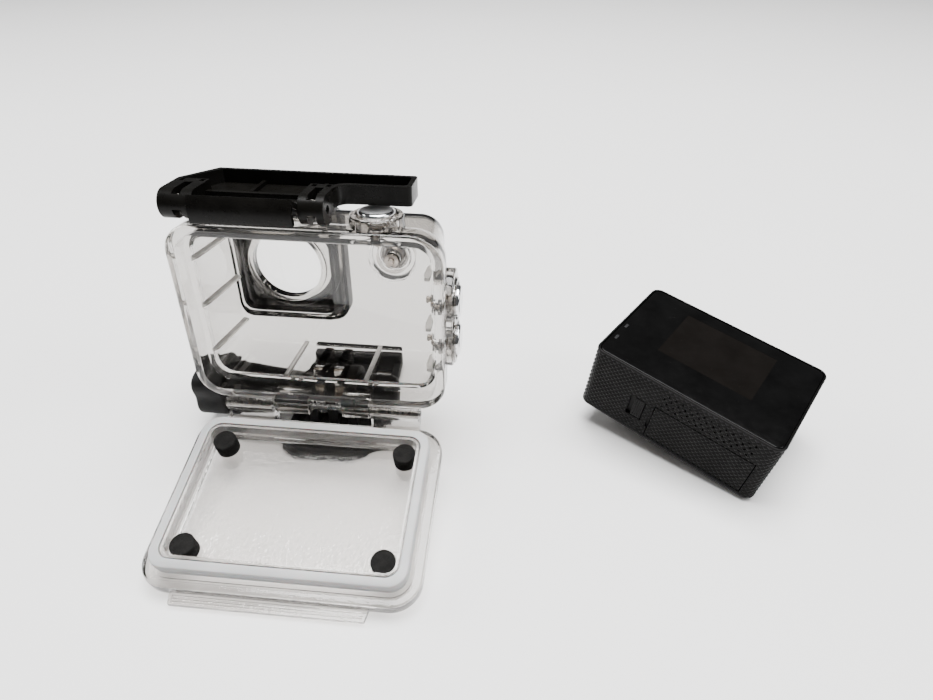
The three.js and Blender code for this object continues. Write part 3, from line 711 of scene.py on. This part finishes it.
# Its local frame has y = 0 at the hinge edge and z = 0 on the face that meets the rim.
DOOR_X, DOOR_LENGTH, DOOR_THICK = 36.35, 52.5, 4.5
DOOR_HINGE = (3.55, 2.81)
GASKET_X, GASKET_NEAR, GASKET_FAR, GASKET_BAND, GASKET_TOP = 33.2, 3.45, 49.2, 2.4, 4.7
PAD_X, PAD_NEAR, PAD_FAR, PAD_R = 26.1, 10.5, 42.1, 3.2


def door_slab(half, near, far, r, w, edge=(0, 0), profile=None):
    return slab("xy", (-half, half), (-far, -near), r, w, edge, 12, profile)


def around_gasket(inset, r, w, edge=(0, 0), profile=None):
    """A slab whose outline is the gasket's outer one drawn in by an inset."""
    near, far = GASKET_NEAR + inset, GASKET_FAR - inset
    return door_slab(GASKET_X - inset, near, far, r, w, edge, profile)


def door_knuckle(x0, x1):
    y, z = DOOR_HINGE
    arm = [(-1, -0.4), (-1, -DOOR_THICK), (2.6, -DOOR_THICK), (y + 2.3, z - 1.2), (y, z), (y - 2.3, z - 1.2),
           (0.8, -0.4)]
    return join(rod("x", (0, y, z), 2.6, x0, x1, 48, 0.2), prism("yz", arm, x0, x1))


def build_door():
    end = -DOOR_LENGTH
    panel = door_slab(DOOR_X, 0, DOOR_LENGTH, 8, (-DOOR_THICK, 0), (1.2, 0.6))
    tab_outline = [(-27.6, end + 2), (-26.8, end - 2.8), (23, end - 2.8), (24, end + 2)]
    join(panel, around_gasket(2.7, 3.3, (-1, 4.6), (0, 0.3)), prism("xy", tab_outline, -DOOR_THICK, -3),
         door_knuckle(-29.5, -15.5), door_knuckle(14.2, 28.5))
    lines = [box((-26.2, 22.6), (end - k - 0.22, end - k + 0.22), (-3.45, -2), 0.02) for k in (0.7, 1.5, 2.2)]
    groove = cut(door_slab(34.6, 1.8, 50.6, 6.4, (-0.6, 1), (0, 0)), door_slab(33.9, 2.5, 49.9, 5.7, (-1, 2)))
    cut(panel, around_gasket(3.5, 2.5, (-2, 6), (0.5, 0)), groove, pin_bore(DOOR_HINGE), *lines)
    place("clear_door", panel, DOOR, "door", CLEAR_DOOR, ["door_panel"], 0.18)

    lips = [(0.5, GAP), (0.15, 0.7), (0.15, 1.4), (0.45, 1.7), (0.45, 2.1), (0, 2.4), (0, 3.1),
            (0.3, 3.45), (0.3, 3.8), (0.05, 4.05), (0.2, 4.5), (0.7, GASKET_TOP)]
    gasket = around_gasket(0, 5, None, profile=lips)
    cut(gasket, around_gasket(GASKET_BAND, 3.6, (0, 6)))
    place("door_seal", gasket, DOOR, "door", SILICONE, ["door_gasket"], 0.3)

    spots = [(x, -along) for along in (PAD_NEAR, PAD_FAR) for x in (-PAD_X, PAD_X)]
    for n, spot in enumerate(spots, 1):
        pad = rod("z", (*spot, 0), PAD_R, -1.7, 3, 40, 0.4)
        place(f"pad_{n}", pad, DOOR, "door", FOAM, [f"door_pad_{n}"])


# ---------------------------------------------------------------- latch

LEVER_TOP, LEVER_UNDER = 62, 57
LEVER_LEFT, LEVER_RIGHT, LEVER_NEAR, LEVER_FAR = -32.8, 27.3, 4.4, 18.8
BLOCKS = (LEVER_LEFT, -24.3), (1.9, 8.2)
SLOT = 2.2


def lever_outline(inset):
    """The lever seen from above: wide at the pin and narrow over the shutter button."""
    left, far, near, end, r = LEVER_LEFT + inset, LEVER_FAR - inset, 8.5 + inset, LEVER_RIGHT - inset, 1.2
    points = [(left, LEVER_NEAR + inset), (8.2 - inset, LEVER_NEAR + inset)]
    points += curve(points[-1], (9 - inset, near), (12, near))
    points += arc(end - r, near + r, r, -90, 0) + arc(end - r, far - r, r, 0, 90)
    return points + [(left + 6.4, far), (left, 8.5)]


def lever_block(x0, x1):
    """A block that carries the pin at the lever's near edge."""
    y, z = LATCH_PIN
    heel = box((x0, x1), (0, 8), (55.8, LEVER_TOP))
    return join(rod("x", (0, y, z), LEVER_TOP - z, x0, x1, 64), heel)


def build_lever():
    lever = prism("xy", lever_outline(0), LEVER_UNDER, LEVER_TOP)
    cut(lever, prism("xy", lever_outline(1.3), LEVER_UNDER + 1.4, LEVER_TOP + 1),
        box((-24.2, 1.8), (3, 5.8), (LEVER_TOP - 2, LEVER_TOP + 1)))
    ribs = [box((x - 0.5, x + 0.5), (8, 18), (LEVER_UNDER + 1, LEVER_UNDER + 2.4)) for x in (-14, 3)]
    join(lever, *[lever_block(*span) for span in BLOCKS], *ribs)
    slots = [box((x - SLOT / 2, x + SLOT / 2), (near, 5), (50, top)) for x in EARS
             for near, top in ((-2.4, LEVER_TOP + 1), (-5, 57.6))]
    windows = [box((x - 0.6, x + 0.6), (6, 7.6), (LEVER_TOP - 0.8, LEVER_TOP + 1), 0.1)
               for x in (-30.9, -25.6, 3.2, 6.9)]
    cut(lever, *slots, *windows, rod("x", (0, *LATCH_PIN), PIN_BORE, -40, 10))
    first, pitch = -24, 1.4
    studs = [box((x - 0.3, x + 0.3), (17.9, 18.4), (LEVER_TOP - 0.3, LEVER_TOP + 0.12), 0.1)
             for x in [first + pitch * k for k in range(34)]]
    join(lever, *studs)
    place("lever_body", lever, CASE, "latch_lever", LATCH, ["latch_lever"], 0.25)


def build_hook():
    """A curved shell on a web that stands on the pin's tube."""
    y, z = LATCH_PIN
    x0, x1, inner, outer = -23.9, 1.5, 5.7, 6.9
    shell = prism("yz", arc(y, z, outer, 145, 203, 24) + arc(y, z, inner, 203, 145, 24), x0, x1)
    lean, half_web = math.radians(153), 0.7
    along = Vector((math.cos(lean), math.sin(lean)))
    across = Vector((-math.sin(lean), math.cos(lean))) * half_web
    web = [tuple(Vector((y, z)) + p) for p in (across, along * 6 + across, along * 6 - across, -across)]
    hook = join(rod("x", (0, y, z), 2, x0, x1, 48), prism("yz", web, x0, x1), shell)
    cut(hook, rod("x", (0, y, z), PIN_BORE, -40, 10))
    place("hook_body", hook, CASE, "latch_hook", LATCH, ["latch_hook"], 0.3)


# ---------------------------------------------------------------- camera

CAM_X, CAM_Y, CAM_Z = 29.6, 20.55, 24  # half width, half length and thickness
CORNER = 3
CAM_WALL = 1.6
HATCH_X, HATCH_Z = (-6, 25.3), (2.2, 14.7)
SLIDE_X, SLIDE_Z = (-12.5, -9.2), (6.8, 14.2)
LENS = (-14.5, 6)
SHUTTER_KEY, POWER_KEY = (14, 12), (18, -2)
KNURLS_AROUND, STEPS_PER_KNURL, KNURL_DEPTH = 112, 6, 0.28
KNURL_LOW, KNURL_HIGH = 1.5, 23.3


def wave(t):
    """A triangle wave between 0 and 1."""
    return 1 - abs(2 * (t % 1) - 1)


def knurled_block():
    """The camera's outer block, whose sides carry rows of small pyramids."""
    straight_x, straight_y = 2 * (CAM_X - CORNER), 2 * (CAM_Y - CORNER)
    bend = math.pi / 2 * CORNER
    perimeter = 2 * (straight_x + straight_y + 2 * bend)
    pitch = perimeter / KNURLS_AROUND
    around = KNURLS_AROUND * STEPS_PER_KNURL
    rows = round((KNURL_HIGH - KNURL_LOW) / pitch * STEPS_PER_KNURL)

    def point(s, push):
        """The place a distance s round the outline, pushed outwards."""
        for angle, length in ((-90, straight_x), (0, straight_y), (90, straight_x), (180, straight_y)):
            facing = math.radians(angle)
            out = Vector((math.cos(facing), math.sin(facing), 0))
            along = Vector((-out.y, out.x, 0))
            reach = CAM_Y if angle in (-90, 90) else CAM_X
            if s <= length:
                return out * (reach + push) + along * (s - length / 2)
            s -= length
            if s <= bend:
                a = facing + s / CORNER
                centre = out * (reach - CORNER) + along * (length / 2)
                return centre + Vector((math.cos(a), math.sin(a), 0)) * (CORNER + push)
            s -= bend
        return point(0, push)

    def ring(z, inset, texture):
        made = []
        for k in range(around):
            s = perimeter * k / around
            u, v = s / pitch, (z - KNURL_LOW) / pitch
            dip = KNURL_DEPTH * max(0.0, 1 - min(wave(u + v), wave(u - v)) * 2) if texture else 0
            p = point(s, -inset - dip)
            made.append(Vector((p.x, p.y, z)))
        return made

    edges = edge_profile(0, CAM_Z, 1.2, 0.3)
    low = [ring(h, inset, False) for inset, h in edges if h <= 1.3]
    height = KNURL_HIGH - KNURL_LOW
    middle = [ring(KNURL_LOW + height * k / rows, 0, True) for k in range(rows + 1)]
    high = [ring(h, inset, False) for inset, h in [(0, KNURL_HIGH + 0.1)] + edges[-5:]]
    return loft(low + middle + high)


def speaker_holes():
    """Four rows of small holes, every second row half a pitch to the right."""
    holes = []
    pitch, row_pitch = 2.2, 1.5
    for row in range(4):
        for k in range(13):
            x = -4.6 + pitch * k + (pitch / 2 if row % 2 else 0)
            z = 16.6 + row_pitch * row
            if x < 24:
                holes.append(box((x - 0.32, x + 0.32), (-CAM_Y - 1, -CAM_Y + 1.1), (z - 0.28, z + 0.28)))
    return holes


def build_camera_shell():
    block = knurled_block()
    wall = CAM_WALL
    front = -CAM_Y - 1
    door = common(copy_of(block), box(HATCH_X, (front, -CAM_Y + 1.4), HATCH_Z, 0.0))
    place("hatch_panel", door, CAMERA, "battery_door", BODY, ["battery_door"])
    hatch = [(lo - GAP, hi + GAP) for lo, hi in (HATCH_X, HATCH_Z)]
    slide = (SLIDE_X[0] - 1.6, SLIDE_X[1] + GAP), (SLIDE_Z[0] - GAP, SLIDE_Z[1] + GAP)
    key_spans = (-1.2, 4), (-6.5, -1.3)
    cut(block,
        slab("xy", (-CAM_X + wall, CAM_X - wall), (-CAM_Y + wall, CAM_Y - wall), 2, (wall, CAM_Z - 1.7)),
        slab("xy", (-29, 29), (-19.9, 19.9), 2.4, (CAM_Z - 2.1, CAM_Z + 1)),
        rod("z", (*LENS, 0), 9, -1, wall + 1, 64),
        box(hatch[0], (front, -CAM_Y + wall + 1), hatch[1]),
        box(slide[0], (front, -CAM_Y + 1.3), slide[1], 0.1),
        box((-6.9, -6.2), (front, -CAM_Y + 0.7), (5.4, 10.8)),
        rod("y", (SHUTTER_KEY[0], 0, SHUTTER_KEY[1]), 5, CAM_Y - wall - 1, CAM_Y + 1, 48),
        rod("z", (*POWER_KEY, 0), 4, -1, wall + 1, 48),
        *[box((CAM_X - wall - 1, CAM_X + 1), span, (8.7, 15.3)) for span in key_spans],
        slab("yz", (-8.6, 6), (6.5, 20), 3, (CAM_X - 0.35, CAM_X + 1)),
        *speaker_holes())
    place("camera_case", block, CAMERA, "camera", BODY, ["camera_shell"])


def screen_material():
    f = Finish("display", (0.012, 0.009, 0.008), 0.14, Specular_IOR_Level=0.2)
    f.vary_color(120, (0.0034, 0.0029, 0.0025), (0.005, 0.0042, 0.0037))
    f.vary_roughness(300, 0.1, 0.2)
    return f.material


def build_screen():
    top = CAM_Z - 0.05
    across, along = (-14.8, 15.4), (-7.7, 14.7)
    marks = ((-27.3, -4.5), (-27.1, -11.2))
    glass = slab("xy", (-28.7, 28.7), (-19.6, 19.6), 2.2, (top - 1.1, top), (0, 0.2))
    cut(glass, box(across, along, (top - 0.06, top + 1)))
    for x, y in marks:
        cut(glass, slab("xy", (x - 0.5, x + 0.5), (y - 1.1, y + 1.1), 0.45, (top - 0.1, top + 1)))
    place("rear_glass", glass, CAMERA, "camera", GLOSS, ["screen_glass"])
    slack = 0.05
    window = slab("xy", (across[0] + slack, across[1] - slack), (along[0] + slack, along[1] - slack), 0.2,
                  (top - 0.058, top - 0.01))
    place("display_window", window, CAMERA, "camera", screen_material(), ["lcd_panel"])
    lens_grey = moulded_black(
        "indicator_lens", (0.012, 0.012, 0.013), (0.02, 0.02, 0.021), 0.3, 0.4, 600, 0.01)
    for n, (x, y) in enumerate(marks, 1):
        light = slab("xy", (x - 0.45, x + 0.45), (y - 1.05, y + 1.05), 0.4,
                     (top - 0.099, top + 0.02), (0, 0.1))
        place(f"indicator_{n}", light, CAMERA, "camera", lens_grey)


def build_lens():
    centre = (*LENS, 0)
    ring_profile = [(8.9, -5.3), (10.4, -5.3), (11, -4.7), (11, -4.2), (10.7, -4), (10.7, -3.5),
                    (11, -3.3), (11, -GAP), (8.9, -GAP)]
    trim = turned("z", centre, ring_profile, 96)
    place("lens_trim", trim, CAMERA, "camera", GLOSS, ["lens_ring"], 0.1)
    steps = [(0, -3), (6.6, -3), (6.6, -3.9), (7.1, -4.2), (7.1, -4.5), (7.6, -4.7), (7.6, -4.9),
             (8.5, -4.9), (8.5, 13.6), (0, 13.6)]
    tube = turned("z", centre, steps, 96)
    place("lens_tube", tube, CAMERA, "camera", BODY, ["lens_barrel"], 0.08)
    r, tip, rise, bands = 6.3, -4.6, 0.6, 8
    dome = [(0, tip)] + [(r * k / bands, tip + rise * (k / bands) ** 2) for k in range(1, bands + 1)]
    glass = turned("z", centre, dome + [(r, -3.3), (0, -3.3)], 96)
    place("lens_dome", glass, CAMERA, "camera", COATED, ["lens_glass"])


def build_keys():
    key_profile = [(0, -1.4), (1, -1.4), (1, 0.1), (0.9, 0.5), (0.55, 0.42), (0, 0.42)]
    shutter = at(SHUTTER_KEY[0], CAM_Y, SHUTTER_KEY[1]) @ turn("X", -90)
    power = at(*POWER_KEY, 0) @ turn("X", 180)
    for name, matrix, r in (("shutter_key", shutter, 4.6), ("power_key", power, 3.6)):
        disc = turned("z", (0, 0, 0), [(k * r, h) for k, h in key_profile], 64, 0.2)
        place(name + "_disc", disc, CAMERA @ matrix, name, BODY, [name])
    for name, span in (("up_key", (-0.9, 3.7)), ("down_key", (-6.2, -1.6))):
        key = slab("yz", span, (9, 15), 1, (CAM_X - 1.4, CAM_X + 0.15), (0, 0.3))
        place(name + "_bar", key, CAMERA, name, GLOSS, [name])
    slider = box(SLIDE_X, (-CAM_Y + 0.1, -CAM_Y + 1.1), SLIDE_Z, 0.12)
    first, pitch, width = SLIDE_X[0] + 0.5, 0.7, 0.3
    grips = [(first + pitch * k, first + pitch * k + width) for k in range(4)]
    cut(slider, *[box(span, (-CAM_Y, -CAM_Y + 0.3), (7.6, 13.4)) for span in grips])
    place("slider_body", slider, CAMERA, "battery_latch", BODY, ["battery_latch"])


def dress_inner_nodes():
    """The pieces shut inside the camera keep their CAD shape and get a finish."""
    board = moulded_black(
        "circuit_board", (0.01, 0.045, 0.022), (0.015, 0.07, 0.03), 0.4, 0.55, 600, 0.05)
    inner = moulded_black(
        "inner_parts", (0.04, 0.04, 0.044), (0.06, 0.06, 0.065), 0.4, 0.6, 700, 0.02)
    for name in ("main_board", "image_sensor", "battery", "memory_card", "speaker"):
        material = board if name == "main_board" else inner
        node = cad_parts[name]
        node.data.materials.clear()
        node.data.materials.append(material)


# ---------------------------------------------------------------- stage, lights and camera


def build_stage():
    bpy.ops.mesh.primitive_plane_add(size=6, location=(0, 0, -0.0004))
    floor = bpy.context.object
    floor.name = "floor"
    f = Finish("floor_paper", (0.86, 0.855, 0.85), 0.6)
    f.vary_color(3, (0.85, 0.845, 0.84), (0.88, 0.875, 0.87))
    floor.data.materials.append(f.material)


def area_light(name, location, target, size, power):
    data = bpy.data.lights.new(name, "AREA")
    data.shape, data.size, data.size_y = "RECTANGLE", *size
    data.energy = power
    lamp = bpy.data.objects.new(name, data)
    bpy.context.scene.collection.objects.link(lamp)
    lamp.location = location
    lamp.rotation_euler = (Vector(target) - Vector(location)).to_track_quat("-Z", "Y").to_euler()


def build_lights():
    world = bpy.data.worlds.new("studio")
    bpy.context.scene.world = world
    world.use_nodes = True
    background = world.node_tree.nodes["Background"]
    background.inputs["Color"].default_value = (0.97, 0.98, 1, 1)
    background.inputs["Strength"].default_value = 0.1
    middle = (0.04, -0.02, 0.03)
    area_light("key", (0.1, 0.12, 1.15), middle, (0.9, 0.8), 44)
    area_light("left", (-0.85, 0.1, 0.6), middle, (0.4, 0.5), 6)
    area_light("right", (0.95, -0.1, 0.65), middle, (0.4, 0.5), 6)


def build_view():
    """The camera stands where the photograph was taken from."""
    data = bpy.data.cameras.new("view")
    data.lens, data.sensor_width = 24.32, 36
    data.shift_x, data.shift_y = -0.00994, 0.01355
    data.clip_start = 0.005
    pitch, azimuth, roll = math.radians(38.89), math.radians(-4.97), math.radians(0.567)
    reach = math.cos(pitch)
    forward = Vector((math.sin(azimuth) * reach, math.cos(azimuth) * reach, -math.sin(pitch)))
    level = Vector((math.cos(azimuth), -math.sin(azimuth), 0))
    upright = level.cross(forward)
    right = level * math.cos(roll) + upright * math.sin(roll)
    up = upright * math.cos(roll) - level * math.sin(roll)
    matrix = Matrix((right, up, -forward)).transposed().to_4x4()
    matrix.translation = (0.057644, -0.150395, 0.147564)
    camera = bpy.data.objects.new("view", data)
    camera.matrix_world = matrix
    bpy.context.scene.collection.objects.link(camera)
    bpy.context.scene.camera = camera


build_stage()
build_lights()
build_view()
build_mount()
build_thumb_screw()
build_case_shell()
build_window()
build_pins()
build_buttons()
build_door()
build_lever()
build_hook()
build_camera_shell()
build_screen()
build_lens()
build_keys()
dress_inner_nodes()
